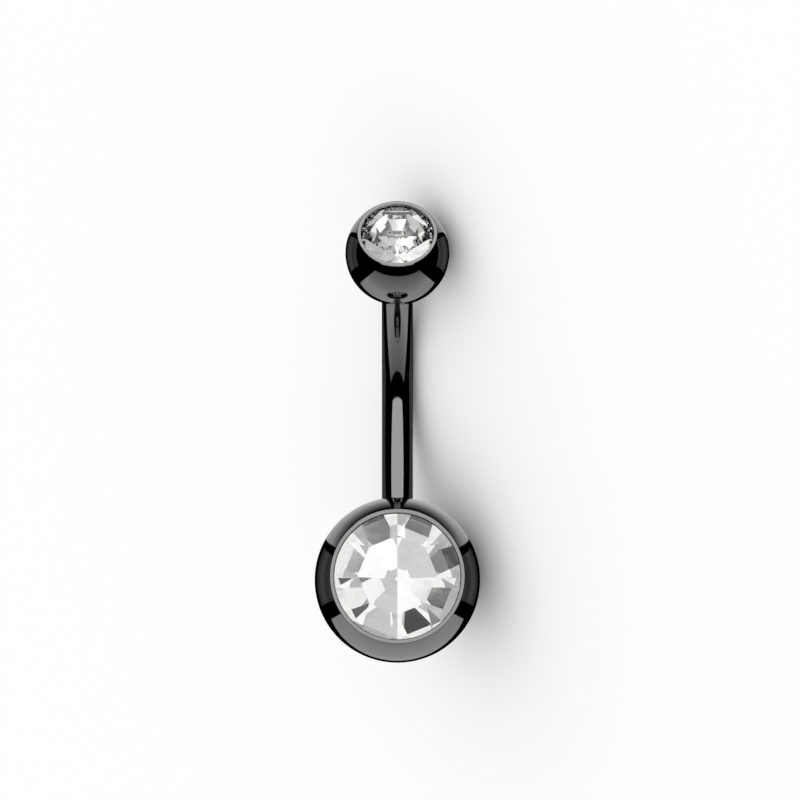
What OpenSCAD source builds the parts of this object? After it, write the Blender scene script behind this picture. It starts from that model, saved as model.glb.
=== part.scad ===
// Navel ring: a curved bar with a large ball fixed on one end and a small ball screwed
// into the other. A round faceted stone is set in each ball. It lies on its balls and
// on the back of its bend, with the stones turned up.

/* [Lower ball] */
// Diameter of the large ball
lower_ball_d = 8; // [7.6:0.1:10]
// Outer diameter of the flat lip round its stone
lower_lip_d = 6.44; // [6.3:0.02:6.8]
// Diameter of its stone
lower_stone_d = 6.08; // [4.5:0.02:6.16]
// Depth of the stone's girdle below the lip
lower_sink = 0.2; // [0.05:0.05:0.4]
// Upward lean of the stone's face when worn, in degrees
lower_lean = 5.2; // [0:0.1:8]
// Turn of the stone about its own axis, in degrees
lower_turn = 0; // [0:0.5:45]

/* [Upper ball] */
// Diameter of the small ball
upper_ball_d = 5; // [4.6:0.1:6]
// Outer diameter of the flat lip round its stone
upper_lip_d = 3.76; // [3.6:0.02:4.2]
// Diameter of its stone
upper_stone_d = 3.44; // [2.6:0.02:3.5]
// Depth of the stone's girdle below the lip
upper_sink = 0.2; // [0.05:0.05:0.4]
// Turn of the stone about its own axis, in degrees
upper_turn = 22.5; // [0:0.5:45]

/* [Bar] */
// Diameter of the bar
bar_d = 1.5; // [1.4:0.05:1.8]
// Radius of the bend, at the middle of the bar
bend_r = 8.4; // [7:0.1:13]
// Backward lean of the bar where it leaves the large ball, in degrees
foot_lean = 25; // [5:1:35]
// Forward lean of its other end, in degrees
tip_lean = 54.5; // [40:0.5:60]
// Length of the straight stretch after the bend
tip_len = 1.05; // [0.8:0.05:4]
// Depth that the bar's shoulder enters the large ball
shoulder_in = 0.2; // [0.1:0.05:0.3]
// Diameter of the thinner pin below the shoulder
pin_d = 1.2; // [0.8:0.05:1.3]
// Length of that pin
pin_len = 1.2; // [0.6:0.1:1.4]

/* [Screw] */
// Diameter of the small ball's post, over its thread
post_d = 1; // [0.8:0.05:1.05]
// Length of the post outside its ball
post_len = 1.9; // [1.4:0.1:2.2]
// Depth of the round seat that hides the bar's end in the ball
seat_depth = 0.1; // [0.05:0.05:0.3]

/* [Stones] */
// Number of sides of the table
stone_sides = 8; // [6:1:10]
// Width of the table across its corners, as a share of the stone
table_share = 0.63; // [0.5:0.01:0.7]
// Slope of the crown under the table's sides, in degrees
crown_deg = 37.5; // [30:0.5:42]
// Slope of the back, in degrees
back_deg = 41; // [36:0.5:43]
// Thickness of the girdle
girdle = 0.1; // [0.05:0.01:0.2]
// Width of the small flat at the stone's back point
point_d = 0.2; // [0.1:0.05:0.4]

/* [Edges and fits] */
// Radius of the rolled edge outside each lip
lip_round = 0.06; // [0.04:0.01:0.2]
// Gap round each stone
stone_fit = 0.03; // [0.02:0.01:0.06]
// Gap round the bar and its pin in the large ball
bar_fit = 0.02; // [0.01:0.01:0.04]
// Gap round the post in the bar
post_fit = 0.03; // [0.02:0.01:0.05]
// Gap round the bar's end in the small ball's seat
seat_fit = 0.04; // [0.02:0.01:0.08]
// Gap under each end face of the bar where it meets a ball
seat_gap = 0.02; // [0.01:0.01:0.05]
// Room past the post's end in the bar
end_room = 0.15; // [0.1:0.05:0.3]

/* [Hidden] */
$fn = 96;

lower_ball_r = lower_ball_d / 2;
upper_ball_r = upper_ball_d / 2;
bar_r = bar_d / 2;
pin_r = pin_d / 2;
post_r = post_d / 2;
facet_step = 360 / stone_sides;
steel = "#2c2c2e";
crystal = "#e6eaee";

// How far one cut or solid runs into the next, where the real metal has no joint
overrun = 0.5;
bore_len = post_len - seat_gap + end_room;
shoulder_at = lower_ball_r - shoulder_in;

// Worn frame: the large ball's centre is the origin, the small ball is above it, and the
// stones look towards -Y. The bend's plane is X = 0.
foot_dir = [0, sin(foot_lean), cos(foot_lean)];
tip_dir = [0, -sin(tip_lean), cos(tip_lean)];
bend_centre = shoulder_at * foot_dir + bend_r * [0, -cos(foot_lean), sin(foot_lean)];
tip_start = bend_centre + bend_r * [0, cos(tip_lean), sin(tip_lean)];
seat_at = sqrt(pow(upper_ball_r, 2) - pow(bar_r + seat_fit, 2)) - seat_depth;
upper_centre = tip_start + (tip_len + seat_gap + seat_at) * tip_dir;

// How it lies: a floor touches the two balls and, where it bulges enough, the back of the
// bend. down points at that floor in the worn frame. Its part in the bend's plane has the
// direction in_plane and the length share, and the rest of it is the roll to one side.
function in_plane(angle) = [0, -cos(angle), sin(angle)];
function unit(v) = v / norm(v);
drop = lower_ball_r - upper_ball_r;
ratio = drop / (lower_ball_r - bar_r);
from_bend = upper_centre - ratio * bend_centre;
rolled_angle = atan2(from_bend.z, -from_bend.y) + acos(ratio * bend_r / norm(from_bend));
share = (lower_ball_r - bar_r) / (in_plane(rolled_angle) * bend_centre + bend_r);
level_angle = atan2(upper_centre.z, -upper_centre.y) + acos(drop / norm(upper_centre));
down = share < 1
    ? [sqrt(1 - share * share), 0, 0] + share * in_plane(rolled_angle)
    : in_plane(level_angle);

// Lying frame: +Z is up and +X runs from the large ball to the small one
up = -down;
along = unit(upper_centre - (upper_centre * up) * up);
across = cross(up, along);
upper_face = [along.x, along * [0, cos(tip_lean), sin(tip_lean)], along * tip_dir];
high_x = along * upper_centre + face_reach(upper_ball_r, upper_lip_d / 2, upper_stone_d / 2,
    upper_sink, upper_turn, upper_face);
lower_face = -[across.x, across * [0, sin(lower_lean), cos(lower_lean)],
    across * [0, -cos(lower_lean), sin(lower_lean)]];
low_y = -face_reach(lower_ball_r, lower_lip_d / 2, lower_stone_d / 2, lower_sink, lower_turn,
    lower_face);
bend_side = across * bend_centre + bend_r * norm([across.y, across.z]) + bar_r;
high_y = max(lower_ball_r, bend_side);

// Lays a piece of the worn frame down on the floor, with the whole centred on the origin
module lying() {
    multmatrix([
        [along.x, along.y, along.z, (lower_ball_r - high_x) / 2],
        [across.x, across.y, across.z, -(low_y + high_y) / 2],
        [up.x, up.y, up.z, lower_ball_r],
        [0, 0, 0, 1]
    ]) children();
}

// The frame of the bar's foot, which runs along +Z from the large ball's centre
module at_foot() {
    rotate([-foot_lean, 0, 0]) children();
}

// The frame of the bar's straight stretch, which starts at its origin and runs along +Z
module at_tip() {
    translate(tip_start) rotate([tip_lean, 0, 0]) children();
}

// The frame of each ball's face, with the ball's centre as origin and +Z out of the stone
module lower_frame() {
    rotate([90 - lower_lean, 0, 0]) children();
}

module upper_frame() {
    translate(upper_centre) rotate([tip_lean, 0, 0]) children();
}

// Height of the lip's flat over the ball's centre
function lip_at(ball_r, lip_r) = lip_round + sqrt(pow(ball_r - lip_round, 2) - pow(lip_r, 2));

function table_r(stone_r) = table_share * stone_r;
function table_flat(stone_r) = table_r(stone_r) * cos(facet_step / 2);
function crown_h(stone_r) = (stone_r - table_flat(stone_r)) * tan(crown_deg);
function back_h(stone_r) = (stone_r - point_d / 2) * tan(back_deg);

// How far a ball reaches from its centre along v, a direction in its face's frame: to its
// round, to its lip's rolled edge or to a corner of its stone's table
function face_reach(ball_r, lip_r, stone_r, sink, turn, v) =
    let(
        flat = lip_at(ball_r, lip_r),
        side = norm([v.x, v.y]),
        rim = (flat - lip_round) * v.z + lip_r * side + lip_round,
        table = table_r(stone_r),
        level = flat - sink + crown_h(stone_r),
        corners = [
            for (i = [0 : stone_sides - 1])
                let(a = turn + i * facet_step) [table * cos(a), table * sin(a), level] * v
        ]
    )
    v.z * lip_r < side * (flat - lip_round) ? ball_r : max(rim, max(corners));

// Half the outline of a ball with a flat lip and a rolled edge, for turning about its axis
module ball_outline(ball_r, lip_r) {
    flat = lip_at(ball_r, lip_r);
    roll = [lip_r, flat - lip_round];
    reach = 2 * ball_r;
    difference() {
        circle(r = ball_r);
        translate([-reach, -reach]) square([reach, 2 * reach]);
        translate([-reach, flat]) square([2 * reach, reach]);
        difference() {
            polygon([roll, roll + [0, reach], roll + [reach, reach], roll + reach * unit(roll)]);
            translate(roll) circle(r = lip_round);
        }
    }
}

// Half the outline of the cup that a stone sits in: straight down from the lip past the
// girdle to where the back's ridges start, then a cone that clears the ridges
module cup_outline(stone_r, girdle_top, flat) {
    wide = stone_r + stone_fit;
    back = girdle_top - girdle;
    ridge_start = back - stone_r * tan(back_deg) * (1 - cos(facet_step / 2));
    cone_end = back - stone_r * tan(back_deg);
    polygon([
        [0, cone_end],
        [stone_fit, cone_end],
        [wide, ridge_start],
        [wide, flat + overrun],
        [0, flat + overrun]
    ]);
}

// A ball with its lip and cup, in its face's frame
module cupped_ball(ball_r, lip_r, stone_r, sink) {
    flat = lip_at(ball_r, lip_r);
    difference() {
        rotate_extrude() ball_outline(ball_r, lip_r);
        rotate_extrude() cup_outline(stone_r, flat - sink, flat);
    }
}

// All that lies beyond a facet, which slopes down from +X by angle and passes through point
module beyond_facet(point, angle, size) {
    translate(point) rotate([0, angle, 0]) translate([-size / 2, -size / 2, 0]) cube(size);
}

// A round stone with its girdle's top at girdle_top: a crown of one wide facet for each
// side of the table and a narrow one for each corner, and a pointed back
module stone(stone_r, girdle_top, turn) {
    crown = crown_h(stone_r);
    back = back_h(stone_r);
    corner_deg = atan(crown / (stone_r - table_r(stone_r)));
    block = 6 * stone_r;
    translate([0, 0, girdle_top]) rotate([0, 0, turn]) difference() {
        translate([0, 0, -girdle - back]) cylinder(h = back + girdle + crown, r = stone_r);
        for (i = [0 : stone_sides - 1]) {
            rotate([0, 0, i * facet_step]) {
                beyond_facet([table_r(stone_r), 0, crown], corner_deg, block);
            }
            rotate([0, 0, (i + 0.5) * facet_step]) {
                beyond_facet([table_flat(stone_r), 0, crown], crown_deg, block);
                beyond_facet([stone_r, 0, -girdle], 180 - back_deg, block);
            }
        }
    }
}

module bar() {
    color(steel) lying() {
        difference() {
            at_tip() {
                cylinder(h = tip_len, r = bar_r);
                translate([0, -bend_r, 0]) rotate([-90, 0, 90]) {
                    rotate_extrude(angle = foot_lean + tip_lean) {
                        translate([bend_r, 0]) circle(r = bar_r);
                    }
                }
            }
            at_tip() translate([0, 0, tip_len - bore_len]) {
                cylinder(h = bore_len + overrun, r = post_r + post_fit);
            }
        }
        at_foot() translate([0, 0, shoulder_at - pin_len]) {
            cylinder(h = pin_len + overrun, r = pin_r);
        }
    }
}

module lower_ball() {
    color(steel) lying() difference() {
        lower_frame() cupped_ball(lower_ball_r, lower_lip_d / 2, lower_stone_d / 2, lower_sink);
        at_foot() {
            translate([0, 0, shoulder_at - seat_gap]) {
                cylinder(h = lower_ball_r, r = bar_r + bar_fit);
            }
            translate([0, 0, shoulder_at - pin_len - seat_gap]) {
                cylinder(h = lower_ball_r, r = pin_r + bar_fit);
            }
        }
    }
}

module lower_stone() {
    flat = lip_at(lower_ball_r, lower_lip_d / 2);
    color(crystal) lying() lower_frame() stone(lower_stone_d / 2, flat - lower_sink, lower_turn);
}

module upper_ball() {
    color(steel) lying() upper_frame() {
        difference() {
            cupped_ball(upper_ball_r, upper_lip_d / 2, upper_stone_d / 2, upper_sink);
            translate([0, 0, -seat_at - upper_ball_r]) {
                cylinder(h = upper_ball_r, r = bar_r + seat_fit);
            }
        }
        translate([0, 0, -seat_at - post_len]) cylinder(h = post_len + overrun, r = post_r);
    }
}

module upper_stone() {
    flat = lip_at(upper_ball_r, upper_lip_d / 2);
    color(crystal) lying() upper_frame() stone(upper_stone_d / 2, flat - upper_sink, upper_turn);
}

bar();
lower_ball();
lower_stone();
upper_ball();
upper_stone();
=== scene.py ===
import math

import bmesh
import bpy
from mathutils import Matrix, Vector


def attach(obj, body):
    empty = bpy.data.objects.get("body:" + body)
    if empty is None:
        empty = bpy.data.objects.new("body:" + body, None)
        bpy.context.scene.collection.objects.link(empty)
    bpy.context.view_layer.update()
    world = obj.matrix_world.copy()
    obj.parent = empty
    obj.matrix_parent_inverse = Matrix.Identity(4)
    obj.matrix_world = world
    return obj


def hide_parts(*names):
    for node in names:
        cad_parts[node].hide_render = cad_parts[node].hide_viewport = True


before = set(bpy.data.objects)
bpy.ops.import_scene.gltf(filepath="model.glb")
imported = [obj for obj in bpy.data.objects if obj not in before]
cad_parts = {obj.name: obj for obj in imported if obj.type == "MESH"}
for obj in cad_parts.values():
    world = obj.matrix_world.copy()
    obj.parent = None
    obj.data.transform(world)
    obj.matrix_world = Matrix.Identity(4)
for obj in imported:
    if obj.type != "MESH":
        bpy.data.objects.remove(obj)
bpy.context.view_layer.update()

print("frame loaded:", sorted(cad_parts))

# Everything below is in real millimetres and is turned to metres where it is used.
mm = 0.001
weld = 0.0002            # points closer than this become one
nearly = 0.01            # how far a picked point may be from where it should be
smoothAngle = 28         # degrees, sharper edges than this stay sharp
arcSteps = {"round": 110, "roll": 10, "edge": 5}

# How the ring lies: the large ball's centre is at centre, and the rows say where along, across
# and up point in the frame in which it is worn, with its bar up and its stones forward.
ring = {
    "along": (-0.075413, -0.287944, 0.954673),
    "across": (-0.577648, 0.793007, 0.193552),
    "up": (-0.812795, -0.536868, -0.226134),
    "centre": (-7.304596, -0.168837, 4.0),
    "upperBall": (0, -3.849822, 15.773183),
    "tipLean": 54.5,         # degrees, forwards at the small ball
    "footLean": 25,          # degrees, backwards at the large ball
    "faceLean": 5.2,         # degrees, by which the large ball's lip faces upwards
}


def turnX(angle):
    return Matrix.Rotation(math.radians(angle), 4, "X")


def worn(point):
    # the frame of a piece that sits at a point, in mm, when the ring is worn
    rows = [(*ring[name], shift * mm) for name, shift in zip(("along", "across", "up"), ring["centre"])]
    return Matrix((*rows, (0, 0, 0, 1))) @ Matrix.Translation(Vector(point) * mm)


lowerFrame = worn((0, 0, 0)) @ turnX(90 - ring["faceLean"])
upperFrame = worn(ring["upperBall"]) @ turnX(ring["tipLean"])


def deselect():
    if bpy.context.mode != "OBJECT":
        bpy.ops.object.mode_set(mode="OBJECT")
    bpy.ops.object.select_all(action="DESELECT")


def choose(piece):
    deselect()
    piece.select_set(True)
    bpy.context.view_layer.objects.active = piece


def edit(piece):
    choose(piece)
    bpy.ops.object.mode_set(mode="EDIT")


def pick(test, kind="FACE"):
    # in edit mode, selects the faces or the vertices that pass the test on place and normal
    mesh = bmesh.from_edit_mesh(bpy.context.object.data)
    bpy.ops.mesh.select_all(action="DESELECT")
    bpy.ops.mesh.select_mode(type=kind)
    if kind == "FACE":
        for face in mesh.faces:
            face.select_set(test(face.calc_center_median() / mm, face.normal))
    else:
        for vert in mesh.verts:
            vert.select_set(test(vert.co / mm, vert.normal))
    mesh.select_flush_mode()
    bmesh.update_edit_mesh(bpy.context.object.data)


def closeMesh():
    bpy.ops.mesh.select_all(action="SELECT")
    bpy.ops.mesh.remove_doubles(threshold=weld * mm)
    bpy.ops.mesh.normals_make_consistent(inside=False)
    bpy.ops.object.mode_set(mode="OBJECT")


def arc(centre, radius, start, end, steps):
    # points of an arc in the outline's plane, from start to end degrees
    turns = [math.radians(start + (end - start) * i / steps) for i in range(steps + 1)]
    return [(centre[0] + radius * math.cos(t), centre[1] + radius * math.sin(t)) for t in turns]


def drawn(name, outline, start=0):
    # a vertex is extruded along the outline (distance from Z, height), which is raised by start
    deselect()
    bpy.ops.mesh.primitive_plane_add(size=mm, location=(0, 0, 0))
    piece = bpy.context.object
    piece.name = piece.data.name = name
    bpy.ops.object.mode_set(mode="EDIT")
    bpy.ops.mesh.select_mode(type="VERT")
    bpy.ops.mesh.merge(type="CENTER")
    bpy.ops.transform.translate(value=(outline[0][0] * mm, 0, (outline[0][1] + start) * mm))
    for a, b in zip(outline, outline[1:]):
        step = ((b[0] - a[0]) * mm, 0, (b[1] - a[1]) * mm)
        bpy.ops.mesh.extrude_region_move(TRANSFORM_OT_translate={"value": step})
    bpy.ops.mesh.select_all(action="SELECT")
    return piece


def turned(name, outline, steps):
    # an outline spun round Z
    piece = drawn(name, outline)
    bpy.ops.mesh.spin(steps=steps, angle=2 * math.pi, center=(0, 0, 0), axis=(0, 0, 1),
                      use_auto_merge=False)
    closeMesh()
    return piece


def place(piece, spot, smooth=True):
    # lays a finished piece where it belongs, leaves its object at the origin and smooths it
    choose(piece)
    piece.matrix_world = spot
    bpy.ops.object.transform_apply(location=True, rotation=True, scale=True)
    if smooth:
        bpy.ops.object.shade_smooth_by_angle(angle=math.radians(smoothAngle))
    else:
        bpy.ops.object.shade_flat()


def linear(hexColour):
    channels = [int(hexColour[i:i + 2], 16) / 255 for i in (1, 3, 5)]
    return [c / 12.92 if c <= 0.04045 else ((c + 0.055) / 1.055) ** 2.4 for c in channels] + [1]


def addNode(tree, kind, settings=None, links=None):
    node = tree.nodes.new(kind)
    for key, value in (settings or {}).items():
        if isinstance(key, int) or key in node.inputs:
            node.inputs[key].default_value = value
        else:
            setattr(node, key, value)
    for key, source in (links or {}).items():
        tree.links.new(source, node.inputs[key])
    return node


def newMaterial(name):
    material = bpy.data.materials.new(name)
    material.use_nodes = True
    tree = material.node_tree
    tree.nodes.clear()
    return material, tree, addNode(tree, "ShaderNodeOutputMaterial")


steelLook = {
    "dark": "#707071",       # the coating as it reflects straight on
    "light": "#757576",
    "polish": 0.35,          # mm, width of the waves that buffing leaves
    "wave": 0.15,            # how strongly they tilt the surface
    "depth": 0.002,          # mm, their height
    "mark": 0.02,            # mm, width of a polishing hairline
    "length": 12,            # a hairline's length over its width
    "hair": (0.3, 0.7),      # the part of the hairlines' range that shows
    "roughness": (0.035, 0.075),
}


def blackSteel():
    # Surgical steel, mirror-polished and coated black by PVD: a dark mirror, faintly uneven
    # where the buffing wheel went, with hairlines that only show in the highlights.
    look = steelLook
    material, tree, out = newMaterial("polished black PVD steel")
    spot = addNode(tree, "ShaderNodeTexCoord").outputs["Object"]
    waves = addNode(tree, "ShaderNodeTexNoise",
                    {"Scale": 1 / (look["polish"] * mm), "Detail": 3, "Roughness": 0.6}, {"Vector": spot})
    stretch = addNode(tree, "ShaderNodeMapping", {"Scale": (1, 1, look["length"])}, {"Vector": spot})
    hairs = addNode(tree, "ShaderNodeTexNoise",
                    {"Scale": 1 / (look["mark"] * look["length"] * mm), "Detail": 2},
                    {"Vector": stretch.outputs[0]})
    shade = addNode(tree, "ShaderNodeMix",
                    {"data_type": "RGBA", 6: linear(look["dark"]), 7: linear(look["light"])},
                    {"Factor": waves.outputs[0]})
    rough = addNode(tree, "ShaderNodeMapRange",
                    {"From Min": look["hair"][0], "From Max": look["hair"][1],
                     "To Min": look["roughness"][0], "To Max": look["roughness"][1]},
                    {"Value": hairs.outputs[0]})
    bump = addNode(tree, "ShaderNodeBump",
                   {"Strength": look["wave"], "Distance": look["depth"] * mm}, {"Height": waves.outputs[0]})
    metal = addNode(tree, "ShaderNodeBsdfPrincipled", {"Metallic": 1},
                    {"Base Color": shade.outputs[2], "Roughness": rough.outputs[0],
                     "Normal": bump.outputs[0]})
    tree.links.new(metal.outputs[0], out.inputs[0])
    return material


crystalLook = {
    "clear": "#fbfbfa",
    "ior": 1.56,
    "smear": 1.2,            # mm, width of the faint smears that a finger leaves
    "smeared": (0.45, 0.75),  # the part of the smears' range that shows
    "roughness": (0, 0.015),
}


def cutCrystal():
    # Lead-free crystal glass, cut and fire-polished: perfectly clear, bright and sharp-edged,
    # with hardly visible smears where it was handled.
    look = crystalLook
    material, tree, out = newMaterial("cut crystal glass")
    spot = addNode(tree, "ShaderNodeTexCoord").outputs["Object"]
    smear = addNode(tree, "ShaderNodeTexNoise",
                    {"Scale": 1 / (look["smear"] * mm), "Detail": 4}, {"Vector": spot})
    rough = addNode(tree, "ShaderNodeMapRange",
                    {"From Min": look["smeared"][0], "From Max": look["smeared"][1],
                     "To Min": look["roughness"][0], "To Max": look["roughness"][1]},
                    {"Value": smear.outputs[0]})
    glass = addNode(tree, "ShaderNodeBsdfPrincipled",
                    {"Base Color": linear(look["clear"]), "Transmission Weight": 1, "IOR": look["ior"]},
                    {"Roughness": rough.outputs[0]})
    tree.links.new(glass.outputs[0], out.inputs[0])
    return material


foilLook = {
    "bright": "#f0f0ef",
    "dull": "#e2e2e1",
    "wrinkle": 0.5,          # mm, width of the unevenness of the foil
    "wave": 0.03,            # how strongly it tilts the surface
    "depth": 0.002,          # mm, its height
    "roughness": (0.01, 0.025),
}


def silverFoil():
    # Silver foil fired onto the back of the stone: a slightly uneven cool mirror behind the glass.
    look = foilLook
    material, tree, out = newMaterial("silver foil backing")
    spot = addNode(tree, "ShaderNodeTexCoord").outputs["Object"]
    wrinkle = addNode(tree, "ShaderNodeTexNoise",
                      {"Scale": 1 / (look["wrinkle"] * mm), "Detail": 3}, {"Vector": spot})
    shade = addNode(tree, "ShaderNodeMix",
                    {"data_type": "RGBA", 6: linear(look["dull"]), 7: linear(look["bright"])},
                    {"Factor": wrinkle.outputs[0]})
    rough = addNode(tree, "ShaderNodeMapRange",
                    {"To Min": look["roughness"][0], "To Max": look["roughness"][1]},
                    {"Value": wrinkle.outputs[0]})
    bump = addNode(tree, "ShaderNodeBump",
                   {"Strength": look["wave"], "Distance": look["depth"] * mm}, {"Height": wrinkle.outputs[0]})
    metal = addNode(tree, "ShaderNodeBsdfPrincipled", {"Metallic": 1},
                    {"Base Color": shade.outputs[2], "Roughness": rough.outputs[0],
                     "Normal": bump.outputs[0]})
    tree.links.new(metal.outputs[0], out.inputs[0])
    return material


steel = blackSteel()
glass = cutCrystal()
foil = silverFoil()
print("materials made")


# The cut of both stones, which the cups follow, in mm and degrees. The table is a share of the
# stone's width, and faces that rise less than foiled have the foil.
cut = {"sides": 8, "table": 0.63, "crown": 37.5, "back": 41, "girdle": 0.1, "point": 0.1,
       "foiled": 0.1, "roundSteps": 96, "snap": 0.0001}
# Both cups: the lip's eased inner edge, the room round the stone and the flat at the bottom.
cup = {"ease": 0.03, "gap": 0.03, "flat": 0.03}
# The balls: lip and cup are the radii of the lip's outer edge and of the cup, roll is the lip's
# rolled edge, and sink is how far the stone's girdle lies under the lip.
lowerBall = {"radius": 4, "lip": 3.22, "roll": 0.06, "cup": 3.07, "sink": 0.2, "steps": 192}
upperBall = {"radius": 2.5, "lip": 1.88, "roll": 0.06, "cup": 1.75, "sink": 0.2, "steps": 160}


def lipHeight(ball):
    # height of the lip's flat over the ball's centre
    return ball["roll"] + math.sqrt((ball["radius"] - ball["roll"]) ** 2 - ball["lip"] ** 2)


def ballOutline(ball, start):
    # from the round at start, given in degrees, over the rolled edge and the lip into the cup
    flat = lipHeight(ball)
    rollAt = (ball["lip"], flat - ball["roll"])
    rollStart = math.degrees(math.atan2(rollAt[1], rollAt[0]))
    easeAt = (ball["cup"] + cup["ease"], flat - cup["ease"])
    stoneBack = flat - ball["sink"] - cut["girdle"]
    stoneDepth = (ball["cup"] - cup["gap"]) * math.tan(math.radians(cut["back"]))
    ridge = stoneBack - stoneDepth * (1 - math.cos(math.pi / cut["sides"]))
    return (arc((0, 0), ball["radius"], start, rollStart, arcSteps["round"])
            + arc(rollAt, ball["roll"], rollStart, 90, arcSteps["roll"])[1:]
            + arc(easeAt, cup["ease"], 90, 180, arcSteps["edge"])
            + [(ball["cup"], ridge), (cup["flat"], stoneBack - stoneDepth), (0, stoneBack - stoneDepth)])


lower = turned("lower_ball_polished", ballOutline(lowerBall, -90), lowerBall["steps"])
place(lower, lowerFrame)


# Both threads have this pitch, and a tooth's crest is twice crest wide.
threads = {"pitch": 0.25, "steps": 48, "crest": 0.015}


def addThread(piece, name, cutting, start):
    # a tooth is swept up round Z by a screw modifier, closed at both ends and joined to the piece
    root, tip, half, crest = cutting["root"], cutting["tip"], cutting["half"], threads["crest"]
    inside = root + cutting["buried"]
    tooth = [(inside, -half), (root, -half), (tip, -crest), (tip, crest), (root, half), (inside, half),
             (inside, -half)]
    thread = drawn(name, tooth, start)
    bpy.ops.mesh.remove_doubles(threshold=weld * mm)
    bpy.ops.object.mode_set(mode="OBJECT")
    sweep = thread.modifiers.new("sweep", "SCREW")
    sweep.steps = sweep.render_steps = threads["steps"]
    sweep.screw_offset = threads["pitch"] * mm
    sweep.iterations = cutting["turns"]
    bpy.ops.object.modifier_apply(modifier="sweep")
    edit(thread)
    bpy.ops.mesh.select_all(action="DESELECT")
    bpy.ops.mesh.select_mode(type="EDGE")
    bpy.ops.mesh.select_non_manifold()
    bpy.ops.mesh.edge_face_add()
    closeMesh()
    choose(piece)
    thread.select_set(True)
    bpy.ops.object.join()


# The small ball starts with its post, and has a round seat for the bar's end, whose floor is
# seat below the ball's centre.
post = {"seat": 2.2719, "seatRadius": 0.79, "seatEdge": 0.02, "length": 1.9, "core": 0.39,
        "chamfer": 0.08, "foot": 0.04, "threadStart": 0.2}
postThread = {"root": post["core"], "tip": 0.5, "half": 0.1, "buried": -0.03, "turns": 6}

seatFloor = -post["seat"]
postEnd = seatFloor - post["length"]
seatWidth = post["seatRadius"] + post["seatEdge"]
seatTop = -math.sqrt(upperBall["radius"] ** 2 - seatWidth ** 2)
postOutline = [
    (0, postEnd), (post["core"] - post["chamfer"], postEnd), (post["core"], postEnd + post["chamfer"]),
    (post["core"], seatFloor - post["foot"]), (post["core"] + post["foot"], seatFloor),
    (post["seatRadius"], seatFloor), (post["seatRadius"], seatTop + post["seatEdge"]),
]
roundStart = math.degrees(math.atan2(seatTop, seatWidth))
upper = turned("upper_ball_polished", postOutline + ballOutline(upperBall, roundStart), upperBall["steps"])
addThread(upper, "post_thread", postThread, postEnd + post["threadStart"])
place(upper, upperFrame)
print("balls turned")


# The bar's tip is straight and bored, and its bend starts shoulder from the large ball's centre.
# The bore's drilled end slopes from wall over its depth to point under it.
bar = {"radius": 0.75, "tip": 1.05, "tipRow": 0.45, "bend": 8.4, "shoulder": 3.8, "pin": 0.6,
       "pinLength": 1.2, "chamfer": 0.06, "bore": 0.545, "boreEdge": 0.03, "depth": 2.03, "wall": 0.05,
       "point": 0.1, "threadStart": 0.22, "steps": 96, "bendSteps": 110}
barThread = {"root": bar["bore"], "tip": 0.512, "half": 0.09, "buried": 0.02, "turns": 7}

mouth = bar["tip"]
boreEnd = mouth - bar["depth"]
barOutline = ([(bar["radius"], 0), (bar["radius"], bar["tipRow"]), (bar["radius"], mouth - bar["chamfer"])]
              + arc((bar["radius"] - bar["chamfer"], mouth - bar["chamfer"]), bar["chamfer"], 0, 90,
                    arcSteps["edge"])[1:]
              + [(bar["bore"] + bar["boreEdge"], mouth), (bar["bore"], mouth - bar["boreEdge"]),
                 (bar["bore"], boreEnd + bar["wall"]), (0, boreEnd - bar["point"])])
barPiece = turned("bar_polished", barOutline, bar["steps"])

# The tip's open end is spun down the bend, then stepped in to the pin inside the large ball.
bendAngle = ring["tipLean"] + ring["footLean"]
bendEnd = turnX(-bendAngle)
down = bendEnd @ Vector((0, 0, -1))
endCentre = Vector((0, -bar["bend"], 0)) + bendEnd @ Vector((0, bar["bend"], 0))
shrink = bar["pin"] / bar["radius"]
edit(barPiece)
pick(lambda spot, normal: abs(spot.z) < nearly and spot.to_2d().length > bar["radius"] - nearly, "VERT")
bpy.ops.mesh.spin(steps=bar["bendSteps"], angle=math.radians(bendAngle),
                  center=(0, -bar["bend"] * mm, 0), axis=(1, 0, 0), use_auto_merge=False)
bpy.ops.mesh.extrude_region_move(TRANSFORM_OT_translate={"value": (0, 0, 0)})
bpy.ops.transform.resize(value=(shrink, shrink, shrink), center_override=endCentre * mm)
bpy.ops.mesh.extrude_region_move(TRANSFORM_OT_translate={"value": down * bar["pinLength"] * mm})
bpy.ops.mesh.edge_face_add()
closeMesh()
addThread(barPiece, "bar_thread", barThread, boreEnd + bar["threadStart"])

foot, tip = math.radians(ring["footLean"]), math.radians(ring["tipLean"])
bendCentre = (Vector((0, math.sin(foot), math.cos(foot))) * bar["shoulder"]
              + Vector((0, -math.cos(foot), math.sin(foot))) * bar["bend"])
tipStart = bendCentre + Vector((0, math.cos(tip), math.sin(tip))) * bar["bend"]
place(barPiece, worn(tipStart) @ turnX(ring["tipLean"]))
print("bar bent")


lowerStone = {"radius": 3.04, "girdleTop": lipHeight(lowerBall) - lowerBall["sink"], "turn": 0}
upperStone = {"radius": 1.72, "girdleTop": lipHeight(upperBall) - upperBall["sink"], "turn": 22.5}


def cutFacet(point, slope, turn):
    # cuts off all that lies beyond a plane through point, which slopes down by slope, turned about Z
    about = Matrix.Rotation(math.radians(turn), 3, "Z")
    normal = about @ Vector((math.sin(math.radians(slope)), 0, math.cos(math.radians(slope))))
    bpy.ops.mesh.select_all(action="SELECT")
    bpy.ops.mesh.bisect(plane_co=about @ Vector(point) * mm, plane_no=normal, use_fill=True,
                        clear_outer=True, threshold=cut["snap"] * mm)


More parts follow.
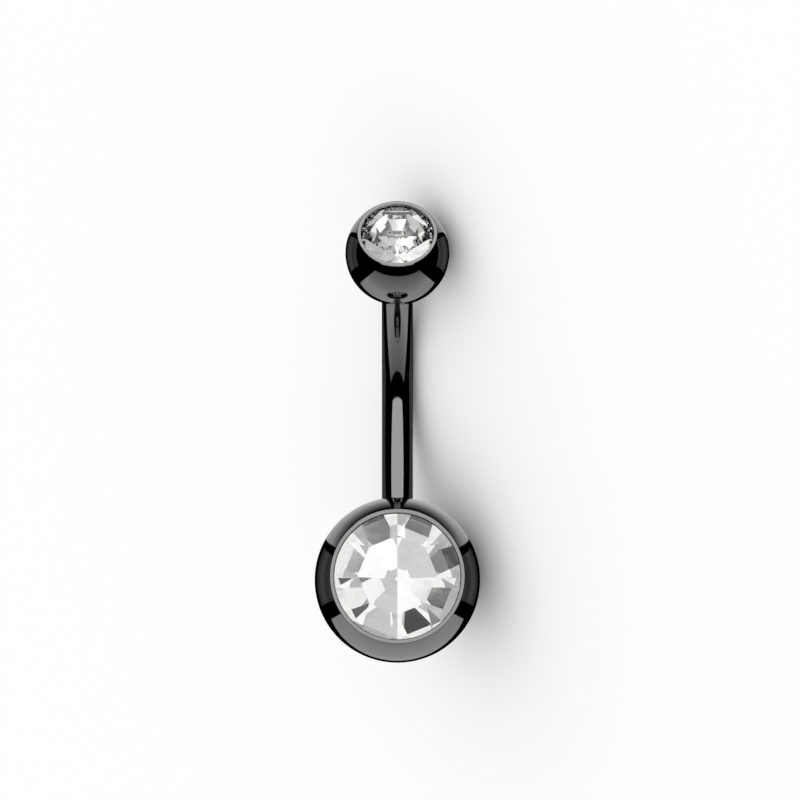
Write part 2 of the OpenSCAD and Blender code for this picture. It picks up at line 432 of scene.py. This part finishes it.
def facetedStone(name, stone, spot):
    # a fine cylinder, cut facet by facet: table corners, crown and back
    radius, step = stone["radius"], 360 / cut["sides"]
    flat = cut["table"] * radius * math.cos(math.pi / cut["sides"])
    crown = (radius - flat) * math.tan(math.radians(cut["crown"]))
    back = (radius - cut["point"]) * math.tan(math.radians(cut["back"]))
    corner = math.degrees(math.atan(crown / (radius * (1 - cut["table"]))))
    low, high = -cut["girdle"] - back, crown
    deselect()
    bpy.ops.mesh.primitive_cylinder_add(vertices=cut["roundSteps"], radius=radius * mm,
                                        depth=(high - low) * mm, location=(0, 0, (high + low) / 2 * mm))
    piece = bpy.context.object
    piece.name = piece.data.name = name
    bpy.ops.object.transform_apply(location=True)
    bpy.ops.object.mode_set(mode="EDIT")
    for i in range(cut["sides"]):
        cutFacet((cut["table"] * radius, 0, crown), corner, i * step)
        cutFacet((flat, 0, crown), cut["crown"], (i + 0.5) * step)
        cutFacet((radius, 0, -cut["girdle"]), 180 - cut["back"], (i + 0.5) * step)
    closeMesh()
    piece.data.materials.append(glass)
    piece.data.materials.append(foil)
    edit(piece)
    pick(lambda middle, normal: normal.z < cut["foiled"])
    piece.active_material_index = 1
    bpy.ops.object.material_slot_assign()
    bpy.ops.object.mode_set(mode="OBJECT")
    lift = (Matrix.Translation((0, 0, stone["girdleTop"] * mm))
            @ Matrix.Rotation(math.radians(stone["turn"]), 4, "Z"))
    place(piece, spot @ lift, smooth=False)
    return piece


lowerCrystal = facetedStone("lower_stone_cut", lowerStone, lowerFrame)
upperCrystal = facetedStone("upper_stone_cut", upperStone, upperFrame)
print("stones cut")

for piece in (lower, upper, barPiece):
    piece.data.materials.clear()
    piece.data.materials.append(steel)
for piece, node, body, slot in (
    (barPiece, "bar", "barbell", "black_steel"),
    (lower, "lower_ball", "barbell", "black_steel"),
    (lowerCrystal, "lower_stone", "barbell", "crystal"),
    (upper, "upper_ball", "screw_ball", "black_steel"),
    (upperCrystal, "upper_stone", "screw_ball", "crystal"),
):
    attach(piece, body)
    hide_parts(node)


# The picture's own frame at the large ball: X to its right, Y up and Z towards the camera.
picture = worn((0, 0, 0)) @ turnX(90)
view = {
    "distance": 700,
    "width": 38.69,          # mm across the picture at the large ball
    "offset": (0.126, 8.706),  # mm from the large ball to the picture's middle
    "clip": (10, 5000),
}
studio = {
    "floor": 4000,
    "floorColour": "#f4f4f4",
    "floorRoughness": 0.6,
    "world": 1.1,
    "peak": 2.5,             # the brightness that white in a card's ramp stands for
    "bounces": (20, 14, 20),  # in all, in the metal and through the stones
}

floorMaterial, tree, out = newMaterial("pale floor")
floorShade = addNode(tree, "ShaderNodeBsdfPrincipled",
                     {"Base Color": linear(studio["floorColour"]), "Roughness": studio["floorRoughness"],
                      "Specular IOR Level": 0})
tree.links.new(floorShade.outputs[0], out.inputs[0])
deselect()
bpy.ops.mesh.primitive_plane_add(size=studio["floor"] * mm, location=(0, 0, 0))
floor = bpy.context.object
floor.name = "floor"
floor.data.materials.append(floorMaterial)
floor.visible_glossy = floor.visible_transmission = False

# Studio cards. Corners are in mm in the picture's frame, the two of the first edge and then the
# two of the last, and the stops give a card's brightness from its first edge to its last. Only
# the metal sees these.
overhead = ((-300, 420, 230), (300, 420, 230), (-300, 420, -60), (300, 420, -60))
sideStops = ((0, 0.05), (0.08, 0.1), (0.16, 0.19), (0.24, 0.21), (0.35, 0.12), (0.5, 0.14), (1, 0.24))
metalCards = {
    "under": (((-83, -50, 53), (83, -50, 53), (-83, -50, -92), (83, -50, -92)),
              ((0, 0.45), (0.28, 0.75), (0.5, 1.1), (0.72, 0.95), (1, 0.75))),
    "front": (((-235, -150, 300), (235, -150, 300), (-420, 420, 300), (420, 420, 300)),
              ((0, 1.9), (1, 1.9))),
    "above": (overhead, ((0, 2.3), (1, 2.3))),
    "behind": (((-75, 40, -600), (75, 40, -600), (-1700, 890, -600), (1700, 890, -600)),
               ((0, 0.7), (0.13, 0.75), (0.34, 0.95), (0.52, 0.62), (0.68, 0.38), (0.89, 0.12), (1, 0.06))),
    "left": (((-350, -130, -640), (-350, 150, -640), (-2400, -760, -640), (-2400, 860, -640)), sideStops),
    "right": (((350, -130, -640), (350, 150, -640), (2400, -760, -640), (2400, 860, -640)), sideStops),
}
# Only the stones see the cards from here on, lighter on one side than on the other, each with
# its brightness.
stoneCards = {
    "table_left": (((-600, -220, 400), (0, -220, 400), (-600, -220, -300), (0, -220, -300)), 0.65),
    "table_right": (((0, -220, 400), (600, -220, 400), (0, -220, -300), (600, -220, -300)), 1.6),
    "over": (overhead, 1.2),
}
# Windows round the camera, with small black flags between them so that the facets sparkle. Each
# has its left and right edge in degrees to the right of the camera, its lower and upper edge in
# degrees above it, and its brightness. They hang in rows at these distances in mm, so far away
# that all of a stone sees them in the same direction, and a nearer row covers those behind it.
windowRows = {
    3500: {
        "soft_left": (-62, 0, -48, 56, 1.5),
        "soft_right": (0, 62, -48, 56, 0.8),
    },
    3450: {
        "near_left": (-12.5, 0, -6, 13.5, 0.88),
        "near_right": (0, 12.5, -6, 13.5, 1.5),
    },
    3400: {
        "flag_low": (1.4, 2.7, 4.2, 5.1, 0.05),
        "flag_middle": (0.35, 0.83, 9, 9.65, 0.05),
        "flag_inner": (2.7, 4.4, 0.2, 2, 0.08),
        "flag_side": (1, 2.6, -0.6, 1.2, 0.2),
        "flag_far": (-6.2, -4, 15.5, 18.3, 0.13),
        "flag_top": (6.4, 7.7, 25.9, 27.3, 0.08),
        "flag_top_left": (-7.7, -6.4, 25.9, 27.3, 0.08),
        "flag_wide": (21.5, 24.2, 17.6, 20.2, 0.14),
        "flag_right": (21, 25.2, 4, 7.5, 0.1),
        "flag_left": (-25.2, -21, 4, 7.5, 0.05),
        "flag_below_left": (-65, -54, -30, -18, 0.04),
        "flag_below_right": (54, 65, -30, -18, 0.04),
        "grey_right": (3.9, 5.3, 7, 8.6, 0.55),
        "grey_left": (-5.3, -3.9, 7, 8.6, 0.3),
        "grey_outer": (-7.4, -5, -0.4, 2, 0.36),
        "grey_low": (1.2, 2, 5.15, 6.7, 0.88),
        "white_middle": (-1.7, -0.75, 8.5, 9.55, 1.35),
        "white_facet": (-0.83, -0.35, 9, 9.65, 1.45),
        "white_inner": (-2.8, -1.2, -0.6, 1.2, 1.4),
        "white_low": (-2, -1.2, 5.1, 6.7, 1.35),
    },
}
for distance, row in windowRows.items():
    for name, (*angles, bright) in row.items():
        left, right, low, high = (distance * math.tan(math.radians(angle)) for angle in angles)
        stoneCards[name] = ([(x, y, distance) for y in (low, high) for x in (left, right)], bright)


def hang(name, corners, stops, forMetal):
    # a glowing card that only rays from the metal or only rays through the stones meet
    glow, tree, out = newMaterial(name + "_glow")
    along = addNode(tree, "ShaderNodeSeparateXYZ", {}, {0: addNode(tree, "ShaderNodeTexCoord").outputs["UV"]})
    ramp = addNode(tree, "ShaderNodeValToRGB", {}, {0: along.outputs[1]})
    while len(ramp.color_ramp.elements) < len(stops):
        ramp.color_ramp.elements.new(1)
    for element, (spot, bright) in zip(ramp.color_ramp.elements, stops):
        level = bright / studio["peak"]
        element.position = spot
        element.color = (level, level, level, 1)
    shine = addNode(tree, "ShaderNodeEmission", {"Strength": studio["peak"]}, {0: ramp.outputs[0]})
    tree.links.new(shine.outputs[0], out.inputs[0])
    glow.cycles.emission_sampling = "NONE"
    deselect()
    bpy.ops.mesh.primitive_plane_add(size=1, location=(0, 0, 0))
    card = bpy.context.object
    card.name = "card_" + name
    for vert, corner in zip(card.data.vertices, corners):
        vert.co = picture @ (Vector(corner) * mm)
    card.data.materials.append(glow)
    card.visible_camera = card.visible_diffuse = card.visible_shadow = False
    card.visible_glossy = forMetal
    card.visible_transmission = not forMetal


for name, (corners, stops) in metalCards.items():
    hang(name, corners, stops, True)
for name, (corners, bright) in stoneCards.items():
    hang(name, corners, ((0, bright), (1, bright)), False)

world = bpy.data.worlds.new("studio")
bpy.context.scene.world = world
world.use_nodes = True
backdrop = world.node_tree.nodes["Background"]
backdrop.inputs["Color"].default_value = linear("#ffffff")
backdrop.inputs["Strength"].default_value = studio["world"]
world.cycles_visibility.glossy = world.cycles_visibility.transmission = False
cycles = bpy.context.scene.cycles
cycles.max_bounces, cycles.glossy_bounces, cycles.transmission_bounces = studio["bounces"]

deselect()
bpy.ops.object.camera_add()
camera = bpy.context.object
camera.data.lens = camera.data.sensor_width * view["distance"] / view["width"]
camera.data.clip_start, camera.data.clip_end = (limit * mm for limit in view["clip"])
camera.matrix_world = picture @ Matrix.Translation(Vector((*view["offset"], view["distance"])) * mm)
bpy.context.scene.camera = camera
bpy.context.scene.view_settings.view_transform = "Standard"
print("stage set")
